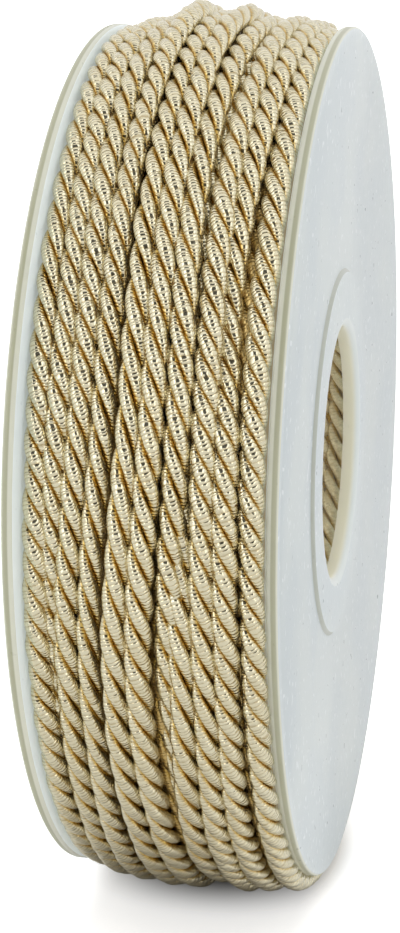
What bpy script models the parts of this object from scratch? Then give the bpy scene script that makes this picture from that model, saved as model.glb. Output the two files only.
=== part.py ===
"""Decorative three-ply cord wound on a clear plastic spool that stands on its rim.

Metres, +Z up. The spool's axis runs along X, and the origin is on the surface under its middle.
Angles round the axis are in degrees: 0 faces -Y, 90 is the top and -90 is the bottom.
"""

import math

import bmesh
import bpy

MM = 0.001

# Spool
FLANGE_RADIUS = 50 * MM
FLANGE_THICKNESS = 1.5 * MM
FLARE = 1.2 * MM  # how much further out a flange's rim stands than its hub
SPOOL_WIDTH = 29 * MM  # over both rims, before their bands are lowered
BORE_RADIUS = 15.2 * MM
CENTRE_RADIUS = 22.0 * MM  # flat raised disc round the bore
CENTRE_HEIGHT = 0.5 * MM
RIM_BAND_WIDTH = 2.3 * MM  # lowered band along the rim's outer face
RIM_BAND_DEPTH = 0.12 * MM
EDGE_CHAMFER = 0.2 * MM
CORE_WALL = 0.8 * MM
FLANGE_STEPS = 72
CORE_STEPS = 48

# Winding
CORD_DIAMETER = 2.6 * MM
GROOVE_DEPTH = 1.1 * MM  # from a turn's crest down to the turns beneath it
AXIS_HEIGHT = 51.85 * MM  # the crest turns press up to half a millimetre flat under this
WINDING_STEPS = 48
WIDTH_STEPS = 60

CLEARANCE = 0.3 * MM

# The outermost turns from left to right: x across the spool and the crest's radius, in mm.
# The four left turns lie a layer lower. Two turns drop under their neighbours on the way down.
STATIONS = (75, 45, 15, -15, -45, -75)
TURNS = (
    # name, x at each station, radius at each station
    ("left_1", (-11.4, -11.4, -11.4, -11.4, -11.3, -11.3), (49.6, 48.9, 48.2, 48.6, 49.9, 50.7)),
    ("left_2", (-9.1, -9.2, -9.2, -9.9, -10.1, -10.0), (50.4, 49.4, 48.6, 47.8, 48.2, 49.0)),
    ("left_3", (-6.7, -6.8, -6.8, -8.5, -8.8, -9.0), (51.0, 50.0, 49.0, 49.0, 50.4, 51.7)),
    ("left_4", (-4.3, -4.3, -4.2, -5.8, -6.1, -6.0), (51.5, 50.6, 49.6, 49.6, 51.0, 52.2)),
    ("right_1", (-1.5, -1.6, -1.2, -2.9, -2.9, -2.5), (52.2, 51.9, 51.6, 51.8, 52.1, 52.3)),
    ("right_2", (1.1, 0.9, 1.4, 0.2, 0.6, 0.4), (52.3, 52.3, 52.2, 52.3, 52.3, 52.4)),
    ("sinking", (4.1, 3.5, 4.0, 2.8, 2.6, 2.8), (52.1, 52.2, 52.2, 51.2, 50.2, 50.2)),
    ("rising", (4.1, 3.5, 4.4, 4.6, 3.5, 3.6), (50.2, 50.2, 50.2, 51.9, 52.3, 52.3)),
    ("right_3", (6.8, 6.1, 6.7, 6.5, 6.2, 6.4), (51.4, 51.8, 52.0, 52.1, 52.2, 52.3)),
    ("right_4", (9.3, 8.5, 8.7, 9.1, 8.9, 9.0), (50.9, 51.4, 51.6, 51.9, 52.1, 52.2)),
    ("right_5", (11.6, 11.5, 11.5, 11.7, 11.9, 11.9), (50.4, 51.0, 51.2, 51.4, 51.7, 51.9)),
)


def clear_scene():
    for old in list(bpy.data.objects):
        bpy.data.objects.remove(old, do_unlink=True)


def new_collection(name):
    collection = bpy.data.collections.new(name)
    bpy.context.scene.collection.children.link(collection)
    return collection


def new_material(name, color, roughness, metallic=0.0, alpha=1.0):
    material = bpy.data.materials.new(name)
    material.use_nodes = True
    shader = material.node_tree.nodes["Principled BSDF"]
    shader.inputs["Base Color"].default_value = (*color, 1.0)
    shader.inputs["Roughness"].default_value = roughness
    shader.inputs["Metallic"].default_value = metallic
    shader.inputs["Alpha"].default_value = alpha
    return material


def new_object(name, mesh, material, collection):
    mesh.materials.append(material)
    part = bpy.data.objects.new(name, mesh)
    collection.objects.link(part)
    return part


def wall_at(radius):
    """How far from the spool's middle a flange's inner face lies: flat at the hub, then flaring to the rim."""
    outwards = max(radius - CENTRE_RADIUS, 0) / (FLANGE_RADIUS - CENTRE_RADIUS)
    return SPOOL_WIDTH / 2 - FLANGE_THICKNESS - FLARE * (1 - outwards)


def turned_mesh(name, profile):
    """A closed outline of (radius, height) points, which a Screw modifier turns about Z."""
    count = len(profile)
    mesh = bpy.data.meshes.new(name)
    edges = [(i, (i + 1) % count) for i in range(count)]
    mesh.from_pydata([(radius, 0, height) for radius, height in profile], edges, [])
    return mesh


def add_turning(part, steps):
    screw = part.modifiers.new("Turning", "SCREW")
    screw.angle = math.tau
    screw.steps = steps
    screw.render_steps = steps
    screw.use_merge_vertices = True
    screw.merge_threshold = 0.00001
    screw.use_smooth_shade = True


def flange_profile():
    """Half the right flange's section, with its height measured from the spool's middle."""
    rim = wall_at(FLANGE_RADIUS)
    rim_face = rim + FLANGE_THICKNESS - RIM_BAND_DEPTH
    hub = wall_at(BORE_RADIUS)
    centre_face = hub + FLANGE_THICKNESS + CENTRE_HEIGHT
    band_radius = FLANGE_RADIUS - RIM_BAND_WIDTH
    band_face = wall_at(band_radius) + FLANGE_THICKNESS
    return (
        (FLANGE_RADIUS - EDGE_CHAMFER, rim_face),
        (FLANGE_RADIUS, rim_face - EDGE_CHAMFER),
        (FLANGE_RADIUS, rim + EDGE_CHAMFER),
        (FLANGE_RADIUS - EDGE_CHAMFER, rim),
        (CENTRE_RADIUS, hub),
        (BORE_RADIUS, hub),
        (BORE_RADIUS, centre_face - EDGE_CHAMFER),
        (BORE_RADIUS + EDGE_CHAMFER, centre_face),
        (CENTRE_RADIUS - EDGE_CHAMFER, centre_face),
        (CENTRE_RADIUS, hub + FLANGE_THICKNESS),
        (band_radius, band_face),
        (band_radius + RIM_BAND_DEPTH, band_face - RIM_BAND_DEPTH),
    )


def make_flanges(collection, material):
    """Both flanges share a mesh: the left one is the right one turned to face the other way."""
    mesh = turned_mesh("flange", flange_profile())
    for name, side in (("flange_left", -1), ("flange_right", 1)):
        flange = bpy.data.objects.new(name, mesh)
        collection.objects.link(flange)
        flange.location = (0, 0, AXIS_HEIGHT)
        flange.rotation_euler = (0, side * math.pi / 2, 0)
        add_turning(flange, FLANGE_STEPS)
    mesh.materials.append(material)


def make_core(collection, material):
    """The clear sleeve that joins the flanges, and on which the first turns lie."""
    half = wall_at(BORE_RADIUS) - CLEARANCE
    outer = BORE_RADIUS + CORE_WALL
    profile = ((outer, half), (outer, -half), (BORE_RADIUS, -half), (BORE_RADIUS, half))
    core = new_object("core", turned_mesh("core", profile), material, collection)
    core.location = (0, 0, AXIS_HEIGHT)
    core.rotation_euler = (0, math.pi / 2, 0)
    add_turning(core, CORE_STEPS)


def between_stations(angle, values):
    """The value at this angle, on a smooth closed curve through the values at the stations."""
    travel = (STATIONS[0] - angle) % 360
    places = [STATIONS[0] - station for station in STATIONS] + [360]
    closed = list(values) + [values[0]]
    last = len(values)
    step = next(i for i in range(last) if travel <= places[i + 1])
    span = places[step + 1] - places[step]
    before = closed[step - 1] if step else closed[last - 1]
    before_place = places[step - 1] if step else places[last - 1] - 360
    after = closed[step + 2] if step + 2 <= last else closed[1]
    after_place = places[step + 2] if step + 2 <= last else 360 + places[1]
    slope_in = (closed[step + 1] - before) / (places[step + 1] - before_place) * span
    slope_out = (after - closed[step]) / (after_place - places[step]) * span
    t = (travel - places[step]) / span
    return (
        (2 * t**3 - 3 * t**2 + 1) * closed[step]
        + (t**3 - 2 * t**2 + t) * slope_in
        + (3 * t**2 - 2 * t**3) * closed[step + 1]
        + (t**3 - t**2) * slope_out
    )


def turns_at(angle):
    """Each turn's (x, crest radius) at this angle, in metres."""
    return [
        (between_stations(angle, across) * MM, between_stations(angle, crests) * MM)
        for name, across, crests in TURNS
    ]


def wound_radius(x, turns):
    """How far from the axis the winding reaches at x: the highest turn there, or the layer beneath."""
    cord = CORD_DIAMETER / 2
    nearest = min(turns, key=lambda turn: abs(turn[0] - x))
    reach = nearest[1] - GROOVE_DEPTH
    for centre, crest in turns:
        aside = abs(x - centre)
        if aside < cord:
            reach = max(reach, crest - cord + math.sqrt(cord**2 - aside**2))
    return reach


def make_winding(collection, material):
    """One body of all the turns: a spun ring whose outside is pressed to the shape of its turns."""
    lowest = min(min(crests) for name, across, crests in TURNS) * MM - GROOVE_DEPTH
    half = wall_at(lowest) - CLEARANCE
    hub_half = wall_at(CENTRE_RADIUS) - CLEARANCE
    inner = BORE_RADIUS + CORE_WALL + CLEARANCE
    section = [(-hub_half, inner), (-hub_half, CENTRE_RADIUS)]
    for step in range(WIDTH_STEPS + 1):
        section.append((half * (2 * step / WIDTH_STEPS - 1), FLANGE_RADIUS))
    section += [(hub_half, CENTRE_RADIUS), (hub_half, inner)]
    shape = bmesh.new()
    outline = [shape.verts.new((x, 0, radius)) for x, radius in section]
    for first, second in zip(outline, outline[1:] + outline[:1]):
        shape.edges.new((first, second))
    bmesh.ops.spin(
        shape,
        geom=outline + shape.edges[:],
        cent=(0, 0, 0),
        axis=(1, 0, 0),
        angle=math.tau,
        steps=WINDING_STEPS,
        use_merge=True,
    )
    turns_by_angle = {}
    for vert in shape.verts:
        angle = round(math.degrees(math.atan2(vert.co.z, -vert.co.y)), 3)
        radius = math.hypot(vert.co.y, vert.co.z)
        if radius > (inner + FLANGE_RADIUS) / 2:
            if angle not in turns_by_angle:
                turns_by_angle[angle] = turns_at(angle)
            radius = wound_radius(vert.co.x, turns_by_angle[angle])
        height = AXIS_HEIGHT + radius * math.sin(math.radians(angle))
        vert.co.y = -radius * math.cos(math.radians(angle))
        vert.co.z = max(height, 0)
    bmesh.ops.recalc_face_normals(shape, faces=shape.faces[:])
    mesh = bpy.data.meshes.new("winding")
    shape.to_mesh(mesh)
    shape.free()
    new_object("winding", mesh, material, collection)


def main():
    clear_scene()
    collection = new_collection("decorative_cord_on_spool")
    gimp = new_material("gold_gimp", (0.62, 0.52, 0.33), 0.42, metallic=0.55)
    frosted = new_material("frosted_plastic", (0.68, 0.71, 0.70), 0.38)
    clear = new_material("clear_plastic", (0.72, 0.72, 0.62), 0.2, alpha=0.35)
    make_winding(collection, gimp)
    make_flanges(collection, frosted)
    make_core(collection, clear)


main()
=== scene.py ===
import math

import bmesh
import bpy
import numpy as np
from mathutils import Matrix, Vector


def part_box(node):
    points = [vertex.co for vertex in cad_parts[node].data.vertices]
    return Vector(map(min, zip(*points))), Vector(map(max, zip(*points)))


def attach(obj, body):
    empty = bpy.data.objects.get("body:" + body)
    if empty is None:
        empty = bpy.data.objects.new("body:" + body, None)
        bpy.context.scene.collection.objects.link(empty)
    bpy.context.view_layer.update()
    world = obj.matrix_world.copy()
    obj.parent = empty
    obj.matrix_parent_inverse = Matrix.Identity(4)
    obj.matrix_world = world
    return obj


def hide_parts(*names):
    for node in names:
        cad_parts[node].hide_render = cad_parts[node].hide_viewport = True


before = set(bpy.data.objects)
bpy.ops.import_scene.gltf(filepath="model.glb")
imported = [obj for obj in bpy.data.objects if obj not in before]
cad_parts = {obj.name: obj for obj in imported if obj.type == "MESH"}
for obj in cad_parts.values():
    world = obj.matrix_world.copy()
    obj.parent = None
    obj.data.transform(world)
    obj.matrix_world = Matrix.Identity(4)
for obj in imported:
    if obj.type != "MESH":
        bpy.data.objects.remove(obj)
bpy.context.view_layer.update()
mm = 0.001
print("frame loaded")


# Places that the frame gives

flangeLow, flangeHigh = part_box("flange_right")
axisHeight = (flangeLow.z + flangeHigh.z) / 2
flangeRadius = (flangeHigh.z - flangeLow.z) / 2
hubFace = flangeLow.x          # inner face at the hub, from the spool's middle
coreRadius = (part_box("core")[1].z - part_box("core")[0].z) / 2


# Small helpers

def newObject(name, mesh, materials):
    for material in materials:
        mesh.materials.append(material)
    made = bpy.data.objects.new(name, mesh)
    bpy.context.scene.collection.objects.link(made)
    return made


def newMaterial(name):
    material = bpy.data.materials.new(name)
    material.use_nodes = True
    tree = material.node_tree
    return material, tree, tree.nodes["Principled BSDF"]


def addNode(tree, kind, **settings):
    node = tree.nodes.new(kind)
    for key, value in settings.items():
        setattr(node, key, value)
    return node


def addMath(tree, operation, first, second=None, third=None):
    node = addNode(tree, "ShaderNodeMath", operation=operation)
    for socket, value in zip(node.inputs, (first, second, third)):
        if value is None:
            continue
        if isinstance(value, (int, float)):
            socket.default_value = value
        else:
            tree.links.new(value, socket)
    return node.outputs[0]


def addMix(tree, mask, first, second):
    node = addNode(tree, "ShaderNodeMix", data_type="RGBA")
    for socket, value in ((node.inputs[0], mask), (node.inputs[6], first), (node.inputs[7], second)):
        if isinstance(value, tuple):
            socket.default_value = (*value, 1)
        else:
            tree.links.new(value, socket)
    return node.outputs[2]


def addRange(tree, value, low, high, start, end):
    fade = addNode(tree, "ShaderNodeMapRange", interpolation_type="SMOOTHSTEP")
    tree.links.new(value, fade.inputs["Value"])
    for name, number in (("From Min", low), ("From Max", high), ("To Min", start), ("To Max", end)):
        fade.inputs[name].default_value = number
    return fade.outputs["Result"]


def newGroup(name, inputs, outputs):
    group = bpy.data.node_groups.new(name, "ShaderNodeTree")
    for label, kind, default in inputs:
        socket = group.interface.new_socket(label, in_out="INPUT", socket_type=kind)
        socket.default_value = default
    for label, kind in outputs:
        group.interface.new_socket(label, in_out="OUTPUT", socket_type=kind)
    start = group.nodes.new("NodeGroupInput")
    end = group.nodes.new("NodeGroupOutput")
    return group, start, end


# Finishes

gimp = {
    "core": (0.36, 0.245, 0.08),     # painted shade in the crease between the rounds of foil
    "grooveShade": (0.60, 0.395, 0.085),  # painted shade deep in the groove between the plies
    "grooveShadeFrom": (0.17, 0.29),      # how far round the ply the groove's painted shade starts and is full
    "grooveShadeShare": 0.95,
    "slant": 0.6,                    # rounds that the foil climbs in going once round the ply
    "wander": 1.3,                   # rounds that it strays along the ply
    "wanderScale": 0.5,
    "patch": (1.7, 9.0),             # how fast the rounds' tilt and glint change, along and round the ply
    "patchTilt": 1.6,
    "dent": (0.7, 6.0),              # the same for the dents
    "creaseShadePower": 2.4,                 # how thin the painted shade line between two rounds is
    "creaseShadeFrom": (0.35, 0.6),         # glint at which the painted shade line is faint and at which it is strong
    "ribDepth": 0.054 * mm,
    "ribTilt": 1.2,
    "dents": 2.2,
    "drift": 260,                    # scale of the change between the light and the warm tone
    "glintRough": 0.12,
}

outerGimp = {
    "light": (0.85, 0.80, 0.605),
    "warm": (0.78, 0.70, 0.475),
    "creaseShade": (0.30, 0.78),           # how dark the painted shade lines between the rounds are, from faint to strong
    "metallic": 0.9,
    "roughness": 0.10,
}

# painted shade: a darker, browner copy of the gimp finish, on the turns beneath the outer ones and on the
# heart
shadedGimp = {
    "light": (0.72, 0.53, 0.23),
    "warm": (0.58, 0.40, 0.13),
    "creaseShade": (0.35, 0.85),
    "metallic": 0.7,
    "roughness": 0.2,
}

# painted light: a paler, less metallic copy of the gimp finish, with little crease shade, on the first turns
# seen through the bore
litFirstGimp = {
    "light": (0.96, 0.88, 0.62),
    "warm": (0.82, 0.68, 0.38),
    "creaseShade": (0.0, 0.15),
    "metallic": 0.3,
    "roughness": 0.32,
}


def makeWrapGroup():
    # fine foil wound crosswise round a ply: U counts its rounds, V goes round the ply. Two outputs are masks
    # for painted shade, in the crease between rounds and in the groove between plies
    group, start, end = newGroup(
        "foilWrap",
        [
            ("Slant", "NodeSocketFloat", 0.6), ("Tilt", "NodeSocketFloat", 0.5),
            ("Dents", "NodeSocketFloat", 1.0),
        ],
        [
            ("Height", "NodeSocketFloat"), ("CreaseShadeMask", "NodeSocketFloat"),
            ("Glint", "NodeSocketFloat"), ("GrooveShade", "NodeSocketFloat"),
        ],
    )
    uv = addNode(group, "ShaderNodeUVMap")
    split = addNode(group, "ShaderNodeSeparateXYZ")
    group.links.new(uv.outputs[0], split.inputs[0])
    slanted = addMath(group, "MULTIPLY", split.outputs[1], start.outputs["Slant"])
    uneven = addNode(group, "ShaderNodeTexNoise", noise_dimensions="1D")
    uneven.inputs["Scale"].default_value = gimp["wanderScale"]
    uneven.inputs["Detail"].default_value = 1.0
    group.links.new(split.outputs[0], uneven.inputs["W"])
    slanted = addMath(group, "MULTIPLY_ADD", uneven.outputs["Fac"], gimp["wander"], slanted)
    rounds = addMath(group, "ADD", split.outputs[0], slanted)
    phase = addMath(group, "FRACT", rounds)
    index = addMath(group, "FLOOR", rounds)
    hump = addMath(group, "SINE", addMath(group, "MULTIPLY", phase, math.pi))
    chance = addNode(group, "ShaderNodeTexWhiteNoise", noise_dimensions="1D")
    group.links.new(index, chance.inputs["W"])
    place = addNode(group, "ShaderNodeCombineXYZ")
    group.links.new(addMath(group, "MULTIPLY", index, gimp["patch"][0]), place.inputs[0])
    group.links.new(addMath(group, "MULTIPLY", split.outputs[1], gimp["patch"][1]), place.inputs[1])
    patches = addNode(group, "ShaderNodeTexNoise")
    patches.inputs["Scale"].default_value = 1.0
    patches.inputs["Detail"].default_value = 1.0
    group.links.new(place.outputs[0], patches.inputs["Vector"])
    lean = addMath(group, "SUBTRACT", chance.outputs["Value"], 0.5)
    wave = addMath(group, "SUBTRACT", patches.outputs["Fac"], 0.5)
    lean = addMath(group, "MULTIPLY_ADD", wave, gimp["patchTilt"], lean)
    tilted = addMath(group, "MULTIPLY", addMath(group, "SUBTRACT", phase, 0.5), lean)
    tilted = addMath(group, "MULTIPLY", tilted, start.outputs["Tilt"])
    dentPlace = addNode(group, "ShaderNodeCombineXYZ")
    group.links.new(addMath(group, "MULTIPLY", rounds, gimp["dent"][0]), dentPlace.inputs[0])
    group.links.new(addMath(group, "MULTIPLY", split.outputs[1], gimp["dent"][1]), dentPlace.inputs[1])
    dents = addNode(group, "ShaderNodeTexNoise")
    dents.inputs["Scale"].default_value = 1.0
    dents.inputs["Detail"].default_value = 0.0
    group.links.new(dentPlace.outputs[0], dents.inputs["Vector"])
    dented = addMath(group, "MULTIPLY_ADD", dents.outputs["Fac"], start.outputs["Dents"], hump)
    height = addMath(group, "ADD", dented, tilted)
    # mask for the painted shade in the crease between two rounds
    creaseShadeMask = addMath(group, "POWER", addMath(group, "SUBTRACT", 1.0, hump), gimp["creaseShadePower"])
    # mask for the painted shade in the groove between plies, by how far round the ply
    inward = addMath(group, "ABSOLUTE", addMath(group, "SUBTRACT", split.outputs[1], 0.5))
    grooveShade = addRange(group, inward, *gimp["grooveShadeFrom"], 0, 1)
    group.links.new(grooveShade, end.inputs["GrooveShade"])
    group.links.new(height, end.inputs["Height"])
    group.links.new(creaseShadeMask, end.inputs["CreaseShadeMask"])
    group.links.new(patches.outputs["Fac"], end.inputs["Glint"])
    return group


def makeGimp(name, wrapGroup, finish):
    material, tree, shader = newMaterial(name)
    wrap = addNode(tree, "ShaderNodeGroup", node_tree=wrapGroup)
    wrap.inputs["Slant"].default_value = gimp["slant"]
    wrap.inputs["Tilt"].default_value = gimp["ribTilt"]
    wrap.inputs["Dents"].default_value = gimp["dents"]
    place = addNode(tree, "ShaderNodeTexCoord")
    drift = addNode(tree, "ShaderNodeTexNoise")
    drift.inputs["Scale"].default_value = gimp["drift"]
    tree.links.new(place.outputs["Object"], drift.inputs["Vector"])
    tone = addMix(tree, drift.outputs["Fac"], finish["light"], finish["warm"])
    # painted shade: the crease between two rounds of foil is darkened towards the core tone, more where the
    # Glint noise is high
    strength = addRange(tree, wrap.outputs["Glint"], *gimp["creaseShadeFrom"], *finish["creaseShade"])
    creaseShade = addMath(tree, "MULTIPLY", wrap.outputs["CreaseShadeMask"], strength)
    tone = addMix(tree, creaseShade, tone, gimp["core"])
    # painted shade: the groove between plies is darkened towards each ply's side
    grooveShade = addMath(tree, "MULTIPLY", wrap.outputs["GrooveShade"], gimp["grooveShadeShare"])
    tone = addMix(tree, grooveShade, tone, gimp["grooveShade"])
    tree.links.new(tone, shader.inputs["Base Color"])
    smoothest = finish["roughness"] - gimp["glintRough"] / 2
    rough = addMath(tree, "MULTIPLY_ADD", wrap.outputs["Glint"], gimp["glintRough"], smoothest)
    tree.links.new(rough, shader.inputs["Roughness"])
    shader.inputs["Metallic"].default_value = finish["metallic"]
    bump = addNode(tree, "ShaderNodeBump")
    bump.inputs["Strength"].default_value = 1.0
    bump.inputs["Distance"].default_value = gimp["ribDepth"]
    tree.links.new(wrap.outputs["Height"], bump.inputs["Height"])
    tree.links.new(bump.outputs[0], shader.inputs["Normal"])
    return material


plastic = {
    "face": (0.63, 0.68, 0.68),
    "cloud": (0.58, 0.635, 0.655),
    "speck": (0.86, 0.90, 0.92),
    # painted shade: the steps' darker tone
    "step": (0.49, 0.51, 0.455),
    "bore": (0.74, 0.73, 0.60),
    # painted light and shade on the rim: its own tone lighter, a darker band along x
    "rimPaintedLight": (0.68, 0.69, 0.58),
    "rimPaintedShade": (0.44, 0.44, 0.32),
    "rimShadeBand": (13.52, 13.68, 14.06, 14.22),  # where along x the rim's painted shade band lies, in mm
    "mouth": (12.9, 13.6),       # where along x the bore's tone gives way to the face's
    "cloudScale": 60,
    "cloudFade": (0.35, 0.65),
    "speckScale": 1300,
    "speckFade": (0.70, 0.80),
    "speckShare": 0.6,
    "grainScale": 900,
    "grainDepth": 0.05 * mm,
    "grainBump": 0.15,
    "grainRough": 0.2,           # how much the roughness varies
    "subsurface": 0.8,
    "depth": 3 * mm,             # how far light strays in it
    "insideGlow": 0.34,        # glow painted on a flange's inner face for the light that comes through the flange
    # painted light: faint glows on the outer face and on the bore's wall
    "faceGlow": 0.025,
    "boreGlow": 0.08,
    "roughness": 0.32,
}


def makeFrosted(name, tone, cloud, glow, bands=None):
    material, tree, shader = newMaterial(name)
    place = addNode(tree, "ShaderNodeTexCoord")
    clouds = addNode(tree, "ShaderNodeTexNoise")
    clouds.inputs["Scale"].default_value = plastic["cloudScale"]
    clouds.inputs["Detail"].default_value = 4
    tree.links.new(place.outputs["Object"], clouds.inputs["Vector"])
    shade = addMix(tree, addRange(tree, clouds.outputs["Fac"], *plastic["cloudFade"], 0, 1), tone, cloud)
    across = addNode(tree, "ShaderNodeSeparateXYZ")
    tree.links.new(place.outputs["Object"], across.inputs[0])
    away = addMath(tree, "MULTIPLY", addMath(tree, "ABSOLUTE", across.outputs[0]), 1000.0)
    if bands == "rim":
        # painted light and shade on the rim: a darker band along x between lighter edges
        first, second, third, fourth = plastic["rimShadeBand"]
        rimShadeBand = addMath(
            tree, "MULTIPLY",
            addRange(tree, away, first, second, 0, 1), addRange(tree, away, third, fourth, 1, 0),
        )
        shade = addMix(tree, rimShadeBand, shade, plastic["rimPaintedShade"])
    elif bands == "mouth":
        shade = addMix(tree, addRange(tree, away, *plastic["mouth"], 0, 1), shade, plastic["face"])
    elif bands == "specks":
        specks = addNode(tree, "ShaderNodeTexNoise")
        specks.inputs["Scale"].default_value = plastic["speckScale"]
        specks.inputs["Detail"].default_value = 0.0
        tree.links.new(place.outputs["Object"], specks.inputs["Vector"])
        speckMask = addRange(tree, specks.outputs["Fac"], *plastic["speckFade"], 0, plastic["speckShare"])
        shade = addMix(tree, speckMask, shade, plastic["speck"])
    tree.links.new(shade, shader.inputs["Base Color"])
    grain = addNode(tree, "ShaderNodeTexNoise")
    grain.inputs["Scale"].default_value = plastic["grainScale"]
    tree.links.new(place.outputs["Object"], grain.inputs["Vector"])
    smoothest = plastic["roughness"] - plastic["grainRough"] / 2
    rough = addMath(tree, "MULTIPLY_ADD", grain.outputs["Fac"], plastic["grainRough"], smoothest)
    tree.links.new(rough, shader.inputs["Roughness"])
    bump = addNode(tree, "ShaderNodeBump")
    bump.inputs["Strength"].default_value = plastic["grainBump"]
    bump.inputs["Distance"].default_value = plastic["grainDepth"]
    tree.links.new(grain.outputs["Fac"], bump.inputs["Height"])
    tree.links.new(bump.outputs[0], shader.inputs["Normal"])
    shader.inputs["Subsurface Weight"].default_value = plastic["subsurface"]
    shader.inputs["Subsurface Radius"].default_value = (1, 1, 1)
    shader.inputs["Subsurface Scale"].default_value = plastic["depth"]
    # painted light: the plastic glows in its own tone, as strongly as glow
    shader.inputs["Emission Color"].default_value = (*tone, 1)
    shader.inputs["Emission Strength"].default_value = glow
    return material


clear = {
    "tone": (0.62, 0.62, 0.52),
    "hazeScale": 150,
    "haze": (0.02, 0.08),        # the least of it, and how much it varies
    "roughness": 0.2,
}


def makeClear():
    material, tree, shader = newMaterial("clearSleeve")
    place = addNode(tree, "ShaderNodeTexCoord")
    haze = addNode(tree, "ShaderNodeTexNoise")
    haze.inputs["Scale"].default_value = clear["hazeScale"]
    tree.links.new(place.outputs["Object"], haze.inputs["Vector"])
    least, spread = clear["haze"]
    hazy = addMath(tree, "MULTIPLY_ADD", haze.outputs["Fac"], spread, least)
    tree.links.new(hazy, shader.inputs["Alpha"])
    shader.inputs["Base Color"].default_value = (*clear["tone"], 1)
    shader.inputs["Roughness"].default_value = clear["roughness"]
    return material


wrapGroup = makeWrapGroup()
gimpMaterial = makeGimp("goldGimp", wrapGroup, outerGimp)
shadedGimpMaterial = makeGimp("goldGimpBeneathShaded", wrapGroup, shadedGimp)
litFirstGimpMaterial = makeGimp("goldGimpFirstLit", wrapGroup, litFirstGimp)
faceMaterial = makeFrosted("frostedFace", plastic["face"], plastic["cloud"], plastic["faceGlow"], "specks")
innerGlowMaterial = makeFrosted("frostedInsideGlow", plastic["face"], plastic["cloud"], plastic["insideGlow"])
stepShadeMaterial = makeFrosted("frostedStepShaded", plastic["step"], plastic["step"], 0)
boreMaterial = makeFrosted("frostedBore", plastic["bore"], plastic["bore"], plastic["boreGlow"], "mouth")
rimLightAndShadeMaterial = makeFrosted("frostedRimLightAndShade", plastic["rimPaintedLight"], plastic["rimPaintedLight"], 0, "rim")
clearMaterial = makeClear()
print("finishes made")


# Spool

spool = {
    "boreRadius": 15.0 * mm,
    "thickness": 1.5 * mm,
    "flare": 1.2 * mm,        # how much further out the rim stands than the hub
    "centreRadius": 21.6 * mm,
    "centreHeight": 0.5 * mm,
    "bandWidth": 2.3 * mm,
    "bandDepth": 0.12 * mm,
    "round": 0.3 * mm,
    "lip": 1.0 * mm,          # how round the bore's mouth is
    "inward": 0.5,            # a face that turns inwards by more than this is the inner face's
    "steep": 0.84,            # one that faces less along the axis than this is a step's or the rim's
    "sharp": 35,              # degrees between faces that make a sharp edge
    "steps": 240,
    "sleeveSteps": 128,
}


def wallAt(radius):
    # the inner face of a flange is flat at the hub and flares to the rim
    outwards = max(radius - spool["centreRadius"], 0) / (flangeRadius - spool["centreRadius"])
    return hubFace + spool["flare"] * outwards


def turnProfile(name, profile, steps, materials):
    # spins an outline of (x, radius) points about the spool's axis
    shape = bmesh.new()
    verts = [shape.verts.new((x, 0, radius)) for x, radius in profile]
    for first, second in zip(verts, verts[1:] + verts[:1]):
        shape.edges.new((first, second))
    bmesh.ops.spin(
        shape, geom=verts + shape.edges[:], cent=(0, 0, 0), axis=(1, 0, 0),
        angle=math.tau, steps=steps, use_merge=True,
    )
    bmesh.ops.recalc_face_normals(shape, faces=shape.faces[:])
    bmesh.ops.translate(shape, verts=shape.verts[:], vec=(0, 0, axisHeight))
    mesh = bpy.data.meshes.new(name)
    for face in shape.faces:
        face.smooth = True
    shape.to_mesh(mesh)
    shape.free()
    mesh.set_sharp_from_angle(angle=math.radians(spool["sharp"]))
    return newObject(name, mesh, materials)


def makeFlange(name, side, node):
    edge = spool["round"]
    rim = wallAt(flangeRadius)
    rimFace = rim + spool["thickness"] - spool["bandDepth"]
    bandRadius = flangeRadius - spool["bandWidth"]
    bandFace = wallAt(bandRadius) + spool["thickness"]
    hubOuter = hubFace + spool["thickness"]
    centre = hubOuter + spool["centreHeight"]
    # x and radius, from the bore's inner end out to the rim, round it and back to the centre disc
    outline = [
        (hubFace, spool["boreRadius"]),
        (hubFace, spool["centreRadius"]),
        (rim, flangeRadius - edge),
        (rim + 0.3 * edge, flangeRadius - 0.3 * edge),
        (rim + edge, flangeRadius),
        (rimFace - 1.3 * edge, flangeRadius),
        (rimFace - 0.8 * edge, flangeRadius - 0.15 * edge),
        (rimFace - 0.25 * edge, flangeRadius - 0.7 * edge),
        (rimFace, flangeRadius - 1.6 * edge),
        (bandFace - spool["bandDepth"], bandRadius + 0.15 * mm),
        (bandFace, bandRadius - 0.05 * mm),
        (hubOuter, spool["centreRadius"] + 0.5 * mm),
        (hubOuter + 0.06 * mm, spool["centreRadius"] + 0.3 * mm),
        (hubOuter + 0.2 * mm, spool["centreRadius"] + 0.1 * mm),
        (centre - 0.16 * mm, spool["centreRadius"] - 0.02 * mm),
        (centre - 0.04 * mm, spool["centreRadius"] - 0.12 * mm),
        (centre, spool["centreRadius"] - 0.3 * mm),
    ]
    lip = spool["lip"]
    for turn in range(0, 91, 18):
        sine, cosine = math.sin(math.radians(turn)), math.cos(math.radians(turn))
        outline.append((centre - lip + lip * cosine, spool["boreRadius"] + lip - lip * sine))
    outline = [(side * x, radius) for x, radius in outline]
    materials = [faceMaterial, innerGlowMaterial, rimLightAndShadeMaterial, stepShadeMaterial, boreMaterial]
    flange = turnProfile(name, outline, spool["steps"], materials)
    for polygon in flange.data.polygons:
        away = math.hypot(polygon.center.y, polygon.center.z - axisHeight)
        if side * polygon.normal.x < -spool["inward"]:
            polygon.material_index = 1
        elif away < spool["boreRadius"] + lip:
            polygon.material_index = 4
        # steep faces: the rim, painted with light and shade in bands, and the step, painted in shade
        elif abs(polygon.normal.x) < spool["steep"]:
            polygon.material_index = 2 if away > bandRadius else 3
    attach(flange, "root")
    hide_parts(node)


makeFlange("flangeLeft", -1, "flange_left")
makeFlange("flangeRight", 1, "flange_right")
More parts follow.
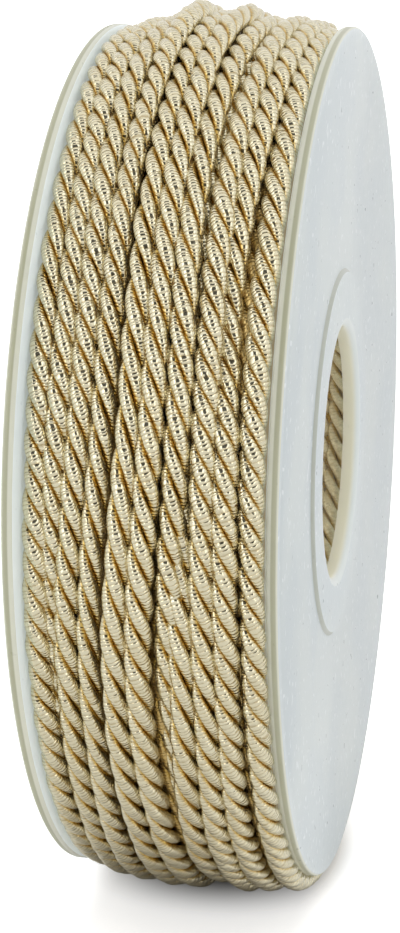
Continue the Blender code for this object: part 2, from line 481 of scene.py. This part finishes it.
# the sleeve reaches both flanges
sleeve = turnProfile("clearSleeve", [
    (-hubFace, spool["boreRadius"]), (hubFace, spool["boreRadius"]),
    (hubFace, coreRadius), (-hubFace, coreRadius),
], spool["sleeveSteps"], [clearMaterial])
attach(sleeve, "root")
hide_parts("core")
print("spool made")


# Cord

cord = {
    "radius": 1.46 * mm,
    "plyHeight": 0.66 * mm,  # half its thickness across the cord
    "plyWidth": 0.765 * mm,  # half its thickness along the cord's outside
    "plyOffset": 0.80 * mm,
    "plies": 3,
    "ribPitch": 0.36 * mm,
    "unevenLay": 0.16,       # how far the twist tightens and slackens along the cord
    "layEvery": 30 * mm,     # the length over which it changes
    "wobble": 0.16 * mm,     # how far a turn strays from its place to the side
    "wobbleEvery": 22 * mm,
    "wobbleOut": 0.7,        # how far it strays outwards, as a part of that
    "wobbleOutEvery": 18 * mm,
    "swell": 0.10,           # how far a ply's thickness and its offset vary
    "swellEvery": 8 * mm,
    "offsetEvery": 20 * mm,
    "clear": 0.02 * mm,      # left between the cord and a flange
    "comesUp": ((150, 3.2), (100, 2.8)),   # degrees before a layer's first turn, and mm under it
    "goesDown": ((60, 1.8), (110, 3.4)),   # degrees after its last turn, and mm under it
}

# The outermost turns from left to right, near the solid's ridges at the front: x and crest radius in mm at
# each station, and the lay, the length in which the plies go once round. A station is an angle up from
# the front, in degrees. At the back each turn steps over to where the next one starts
stations = (75, 45, 15, -15, -45, -75)
turns = {
    "left_1": ((-11.4, -11.4, -11.4, -11.4, -11.3, -11.3), (50.0, 48.9, 48.2, 48.6, 49.9, 50.7), 10.8),
    "left_2": ((-9.1, -9.2, -9.2, -9.9, -10.1, -10.0), (50.4, 49.4, 48.6, 47.8, 48.2, 49.0), 10.6),
    "left_3": ((-6.7, -6.8, -6.8, -8.5, -8.8, -9.0), (51.0, 50.0, 49.0, 49.0, 50.4, 51.7), 11.0),
    "left_4": ((-3.9, -4.2, -4.2, -5.8, -6.1, -6.0), (52.1, 50.8, 49.6, 49.6, 51.0, 52.2), 11.4),
    "right_1": ((-1.05, -1.35, -1.25, -2.75, -2.75, -2.5), (51.8, 51.5, 51.6, 51.8, 52.1, 52.3), 12.2),
    "right_2": ((1.4, 1.0, 1.15, -0.15, 0.0, 0.1), (52.4, 52.2, 52.2, 52.3, 52.3, 52.4), 12.4),
    "sinking": ((4.15, 3.35, 4.0, 2.8, 2.6, 2.8), (51.4, 52.0, 52.2, 51.2, 50.2, 50.2), 11.2),
    "rising": ((5.0, 4.6, 4.2, 4.3, 3.4, 3.5), (50.0, 50.4, 50.2, 51.9, 52.0, 51.4), 12.0),
    "right_3": ((7.3, 6.5, 6.7, 6.6, 6.2, 6.0), (51.4, 51.9, 52.0, 52.1, 52.2, 52.3), 10.5),
    "right_4": ((9.35, 8.6, 8.8, 9.1, 8.8, 9.1), (51.0, 51.4, 51.6, 51.9, 52.1, 52.2), 10.2),
    "right_5": ((11.45, 11.45, 11.6, 11.85, 12.0, 12.1), (50.4, 51.0, 51.2, 51.4, 51.7, 51.9), 10.2),
}

# where a turn dips between two of the stations: station, x and crest radius
pockets = {"right_4": ((36, 8.2, 50.9), (28, 8.2, 50.2))}


def smoothThrough(places, values, at):
    # a smooth curve through the values, read at the places asked for
    places, values = np.asarray(places, float), np.asarray(values, float)
    slopes = np.gradient(values, places)
    step = np.clip(np.searchsorted(places, at, side="right") - 1, 0, len(places) - 2)
    span = places[step + 1] - places[step]
    t = (at - places[step]) / span
    return (
        (2 * t**3 - 3 * t**2 + 1) * values[step]
        + (t**3 - 2 * t**2 + t) * span * slopes[step]
        + (3 * t**2 - 2 * t**3) * values[step + 1]
        + (t**3 - t**2) * span * slopes[step + 1]
    )


def layerKnots(names):
    # travel in degrees from the first turn's top, x, crest and lay, with the cord coming up from the layer
    # beneath at the start and going down to it at the end. Both layers go down next to each other, which
    # leaves a strip at the back with only the turns beneath
    travel, across, crest, lay = [], [], [], []
    for number, name in enumerate(names):
        places, heights, twistLength = turns[name]
        rows = list(zip(stations, places, heights)) + list(pockets.get(name, ()))
        for station, x, height in sorted(rows, reverse=True):
            travel.append(360 * number + stations[0] - station)
            across.append(x)
            crest.append(height)
            lay.append(twistLength)
    before = [travel[0] - degrees for degrees, under in cord["comesUp"]]
    after = [travel[-1] + degrees for degrees, under in cord["goesDown"]]
    travel = before + travel + after
    across = [across[0]] * 2 + across + [across[-1]] * 2
    comingUp = [crest[0] - under for degrees, under in cord["comesUp"]]
    goingDown = [crest[-1] - under for degrees, under in cord["goesDown"]]
    crest = comingUp + crest + goingDown
    lay = [lay[0]] * 2 + lay + [lay[-1]] * 2
    return travel, across, crest, lay


def unevenness(draw, length, spacing):
    # smooth chance along the cord, from -1 to 1, with a new value every so often
    places = np.linspace(0, length[-1], int(length[-1] / spacing) + 2)
    return smoothThrough(places, draw.uniform(-1, 1, len(places)), length)


def makePly(name, knots, ply, stepsPerTurn, sides, seed, material=gimpMaterial, plump=1.0):
    # one ply along the whole run of turns, as a grid wrapped into a closed tube
    travelKnots, acrossKnots, crestKnots, layKnots = knots
    steps = int((travelKnots[-1] - travelKnots[0]) / 360 * stepsPerTurn)
    shape = bmesh.new()
    shape.loops.layers.uv.new("UVMap")
    bmesh.ops.create_grid(shape, x_segments=steps, y_segments=sides, size=0.5, calc_uvs=True)
    mesh = bpy.data.meshes.new(name)
    shape.to_mesh(mesh)
    flat = np.empty(len(mesh.vertices) * 3, np.float32)
    mesh.vertices.foreach_get("co", flat)
    flat = flat.reshape(-1, 3).astype(float)
    along = np.rint((flat[:, 0] + 0.5) * steps).astype(int)
    around = np.rint((flat[:, 1] + 0.5) * sides) / sides * math.tau + math.pi

    travel = np.linspace(travelKnots[0], travelKnots[-1], steps + 1)
    across = smoothThrough(travelKnots, acrossKnots, travel) * mm
    reach = smoothThrough(travelKnots, crestKnots, travel) * mm - cord["radius"]
    angle = np.radians(stations[0] - travel)
    length = np.concatenate([[0], np.cumsum(reach[1:] * np.radians(np.diff(travel)))])
    draw = np.random.default_rng(seed)
    across += cord["wobble"] * unevenness(draw, length, cord["wobbleEvery"])
    reach += cord["wobbleOut"] * cord["wobble"] * unevenness(draw, length, cord["wobbleOutEvery"])
    lay = smoothThrough(travelKnots, layKnots, travel) * mm
    lay *= 1 + cord["unevenLay"] * unevenness(draw, length, cord["layEvery"])
    turned = np.concatenate([[0], np.cumsum(np.diff(length) / lay[1:])])
    twist = math.tau * (turned + ply / cord["plies"])
    ownDraw = np.random.default_rng(seed + 20 * ply)
    swell = 1 + cord["swell"] * unevenness(ownDraw, length, cord["swellEvery"])
    offset = cord["plyOffset"] * (1 + cord["swell"] * unevenness(ownDraw, length, cord["offsetEvery"]))

    zero = np.zeros_like(angle)
    outward = np.stack([zero, -np.cos(angle), np.sin(angle)], -1)
    forward = np.stack([zero, -np.sin(angle), -np.cos(angle)], -1)
    sideways = np.array([1.0, 0, 0])
    lead = np.cos(twist)[:, None] * outward + np.sin(twist)[:, None] * sideways
    turning = -np.sin(twist)[:, None] * outward + np.cos(twist)[:, None] * sideways
    heading = forward + (math.tau / lay * cord["plyOffset"])[:, None] * turning
    heading /= np.linalg.norm(heading, axis=1)[:, None]
    third = np.cross(heading, lead)
    fromAxis = (
        (offset[along] + cord["plyHeight"] * swell[along] * np.cos(around))[:, None] * lead[along]
        + (plump * cord["plyWidth"] * swell[along] * np.sin(around))[:, None] * third[along]
    )
    points = reach[along][:, None] * outward[along] + across[along][:, None] * sideways + fromAxis
    points[:, 0] = pressedOnFlange(points)
    points[:, 2] = np.maximum(points[:, 2] + axisHeight, 0)
    mesh.vertices.foreach_set("co", points.astype(np.float32).ravel())
    layer = mesh.uv_layers[0].data
    uv = np.empty(len(layer) * 2, np.float32)
    layer.foreach_get("uv", uv)
    uv[0::2] = uv[0::2] * length[-1] / cord["ribPitch"] + 1000 * ply     # each ply with rounds of its own
    layer.foreach_set("uv", uv)
    shape.clear()
    shape.from_mesh(mesh)
    bmesh.ops.remove_doubles(shape, verts=shape.verts[:], dist=1e-7)
    ends = [edge for edge in shape.edges if edge.is_boundary]
    bmesh.ops.holes_fill(shape, edges=ends, sides=0)
    bmesh.ops.recalc_face_normals(shape, faces=shape.faces[:])
    for face in shape.faces:
        face.smooth = True
    shape.to_mesh(mesh)
    shape.free()
    made = newObject(name, mesh, [material])
    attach(made, "root")
    return made


def pressedOnFlange(points):
    # each point's x, no further out than the flange's inner face
    radius = np.hypot(points[:, 1], points[:, 2])
    outwards = np.clip((radius - spool["centreRadius"]) / (flangeRadius - spool["centreRadius"]), 0, 1)
    limit = hubFace + spool["flare"] * outwards - cord["clear"]
    limit = np.where(radius < flangeRadius, limit, 1)        # past the rim it is free
    return np.clip(points[:, 0], -limit, limit)


leftNames = ["left_1", "left_2", "left_3", "left_4"]
rightNames = ["right_5", "right_4", "right_3", "sinking", "rising", "right_2", "right_1"]
for ply in range(cord["plies"]):
    number = str(ply + 1)
    makePly("lowerTurnsPly" + number, layerKnots(leftNames), ply, stepsPerTurn=600, sides=12, seed=3)
    upper = makePly("upperTurnsPly" + number, layerKnots(rightNames), ply, stepsPerTurn=600, sides=12, seed=8)
    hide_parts("winding")
print("outer turns made")


# how far under the lower of two neighbours the turn beneath them lies, in mm, by the left one's name
drops = {"left_4": 2.1, "right_2": 1.7, "rising": 2.0, "sinking": 2.1, "right_4": 1.8}
usualDrop = 1.5


def beneathKnots():
    names = leftNames + rightNames[::-1]
    travel, across, crest, lay = [], [], [], []
    for number, (first, second) in enumerate(zip(names, names[1:])):
        for place, station in enumerate(stations):
            travel.append(360 * number + stations[0] - station)
            across.append((turns[first][0][place] + turns[second][0][place]) / 2)
            lower = min(turns[first][1][place], turns[second][1][place])
            crest.append(lower - drops.get(first, usualDrop))
            lay.append(turns[first][2])
    return travel, across, crest, lay


innerTurns = {
    "count": 9,
    "pitch": 2.6,     # mm
    "lay": 7.8,       # mm; twisted tighter, as it was wound on the core
    "plump": 0.80,    # how wide a ply is there, of its usual width
    "clear": 0.02,    # mm left between them and the sleeve
}


def innerKnots():
    # from one flange to the other, pressed against the core
    travel = np.arange(innerTurns["count"] * 4 + 1) * 90.0
    across = (travel / 360 - innerTurns["count"] / 2) * innerTurns["pitch"]
    crest = coreRadius / mm + 2 * cord["radius"] / mm + innerTurns["clear"]
    return travel, across, np.full(len(travel), crest), np.full(len(travel), innerTurns["lay"])


for ply in range(cord["plies"]):
    number = str(ply + 1)
    makePly(
        "beneathTurnsPly" + number, beneathKnots(), ply,
        stepsPerTurn=320, sides=8, seed=5, material=shadedGimpMaterial,
    )
    makePly(
        "firstTurnsPly" + number, innerKnots(), ply,
        stepsPerTurn=200, sides=12, seed=11, material=litFirstGimpMaterial, plump=innerTurns["plump"],
    )

# the layers between, seen only through the gaps, in the darker copy of the gimp finish that paints shade on
# them
heartSize = {
    "outer": 46.0 * mm,
    "inner": coreRadius + cord["radius"],
    "side": hubFace - 0.5 * mm,
    "steps": 96,
}
heart = turnProfile("windingHeart", [
    (-heartSize["side"], heartSize["inner"]), (-heartSize["side"], heartSize["outer"]),
    (heartSize["side"], heartSize["outer"]), (heartSize["side"], heartSize["inner"]),
], heartSize["steps"], [shadedGimpMaterial])
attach(heart, "root")
print("inner turns made")


# Camera, floor and light

view = {
    "place": (0.05250, -0.28141, 0.06800),   # from the spool's centre
    "aim": (-0.00350, 0, -0.00259),
    "lens": 94.28,
}

camera = bpy.data.objects.new("camera", bpy.data.cameras.new("camera"))
bpy.context.scene.collection.objects.link(camera)
spoolCentre = Vector((0, 0, axisHeight))
camera.location = spoolCentre + Vector(view["place"])
toAim = spoolCentre + Vector(view["aim"]) - camera.location
camera.rotation_mode = "QUATERNION"
camera.rotation_quaternion = toAim.to_track_quat("-Z", "Y")
camera.data.lens = view["lens"]
bpy.context.scene.camera = camera

ground = {
    "tone": (0.93, 0.93, 0.93),
    "shadowTone": (0.25, 0.24, 0.22),       # painted shadow: the floor darker right under the winding
    "shadowAway": (12 * mm, 42 * mm),
    "shadowAside": (11 * mm, 16 * mm),
    "glow": 0.70,                          # what the camera sees it lit by, apart from the contact, where its fading out paints part of the contact shadow
    "glowAway": (8.5 * mm, 21.5 * mm),
    "sideGlow": 0.22,                      # light thrown on the right flange's foot
    "sideAside": (15 * mm, 22 * mm),
    "sideAway": (25 * mm, 80 * mm),
    "roughness": 0.6,
    "specular": 0.2,
    "drop": 0.05 * mm,
    "size": 3,
}


def makeFloor():
    shape = bmesh.new()
    bmesh.ops.create_grid(shape, x_segments=1, y_segments=1, size=ground["size"])
    mesh = bpy.data.meshes.new("floor")
    shape.to_mesh(mesh)
    shape.free()
    material, tree, shader = newMaterial("paleFloor")
    shader.inputs["Roughness"].default_value = ground["roughness"]
    shader.inputs["Specular IOR Level"].default_value = ground["specular"]
    shader.inputs["Emission Color"].default_value = (1, 1, 1, 1)
    seen = addNode(tree, "ShaderNodeLightPath")
    place = addNode(tree, "ShaderNodeTexCoord")
    length = addNode(tree, "ShaderNodeVectorMath", operation="LENGTH")
    tree.links.new(place.outputs["Object"], length.inputs[0])
    away = length.outputs["Value"]
    split = addNode(tree, "ShaderNodeSeparateXYZ")
    tree.links.new(place.outputs["Object"], split.inputs[0])
    aside = addMath(tree, "ABSOLUTE", split.outputs[0])
    # painted shadow: the floor's tone darkens right under the winding
    shadowNear = addRange(tree, away, *ground["shadowAway"], 1, 0)
    under = addMath(tree, "MULTIPLY", shadowNear, addRange(tree, aside, *ground["shadowAside"], 1, 0))
    tone = addMix(tree, under, ground["tone"], ground["shadowTone"])
    tree.links.new(tone, shader.inputs["Base Color"])
    # a glow seen by the camera only whitens the floor; near the contact it fades out, so the contact shadow
    # there is partly real shade and partly painted
    shown = addRange(tree, away, *ground["glowAway"], 0, ground["glow"])
    shown = addMath(tree, "MULTIPLY", seen.outputs["Is Camera Ray"], shown)
    side = addRange(tree, split.outputs[0], *ground["sideAside"], 0, ground["sideGlow"])
    side = addMath(tree, "MULTIPLY", side, addRange(tree, away, *ground["sideAway"], 1, 0))
    tree.links.new(addMath(tree, "ADD", shown, side), shader.inputs["Emission Strength"])
    floor = newObject("floor", mesh, [material])
    floor.location.z = -ground["drop"]


makeFloor()

studio = {
    "white": 0.95,
    "front": (-0.25, 0.0),     # where the tent's front half gives way to its back
    "box": 1.0,                # how much brighter the left side box is
    "boxRight": 0.7,           # how much of that the right one has
    "boxFrom": (0.43, 0.50),
    "boxTo": (0.66, 0.80),
    "boxFoot": (-0.1, 0.0),
    "boxSides": (-0.1, 0.1),
    "slit": 0.03,              # the dark opening that the camera looks in by
    "slitHalf": (0.34, 0.46),  # its half width, from fully dark to white
    "slitAside": 0.10,         # how far it stands to the left
    "slitTop": (0.92, 0.98),
    "slitFoot": (0.20, 0.32),
    "turned": 10.6,            # degrees that the camera stands round to the right
}


def makeStudio():
    # a white tent, brighter at both sides of a dark opening at the front
    world = bpy.data.worlds.new("studio")
    bpy.context.scene.world = world
    world.use_nodes = True
    tree = world.node_tree
    place = addNode(tree, "ShaderNodeTexCoord")
    turned = addNode(tree, "ShaderNodeVectorRotate", rotation_type="Z_AXIS")
    turned.inputs["Angle"].default_value = -math.radians(studio["turned"])
    tree.links.new(place.outputs["Generated"], turned.inputs["Vector"])
    split = addNode(tree, "ShaderNodeSeparateXYZ")
    tree.links.new(turned.outputs[0], split.inputs[0])
    aside = addMath(tree, "ABSOLUTE", addMath(tree, "ADD", split.outputs[0], studio["slitAside"]))
    front = addRange(tree, split.outputs[1], *studio["front"], 1, 0)
    slit = addMath(tree, "MULTIPLY", addRange(tree, aside, *studio["slitHalf"], 1, 0), front)
    slit = addMath(tree, "MULTIPLY", slit, addRange(tree, split.outputs[2], *studio["slitTop"], 1, 0))
    slit = addMath(tree, "MULTIPLY", slit, addRange(tree, split.outputs[2], *studio["slitFoot"], 0, 1))
    box = addRange(tree, aside, *studio["boxFrom"], 0, 1)
    box = addMath(tree, "MULTIPLY", box, addRange(tree, aside, *studio["boxTo"], 1, 0))
    box = addMath(tree, "MULTIPLY", box, front)
    box = addMath(tree, "MULTIPLY", box, addRange(tree, split.outputs[2], *studio["boxFoot"], 0, 1))
    leftToRight = addRange(tree, split.outputs[0], *studio["boxSides"], 1, studio["boxRight"])
    box = addMath(tree, "MULTIPLY", box, leftToRight)
    light = addMath(tree, "MULTIPLY_ADD", box, studio["box"], studio["white"])
    closed = addMath(tree, "SUBTRACT", 1.0, slit)
    light = addMath(tree, "MULTIPLY_ADD", light, closed, studio["slit"])
    tree.links.new(light, tree.nodes["Background"].inputs["Strength"])
    tree.nodes["Background"].inputs["Color"].default_value = (1, 1, 1, 1)


makeStudio()
bpy.context.scene.view_settings.view_transform = "Standard"
print("camera, floor and light made")
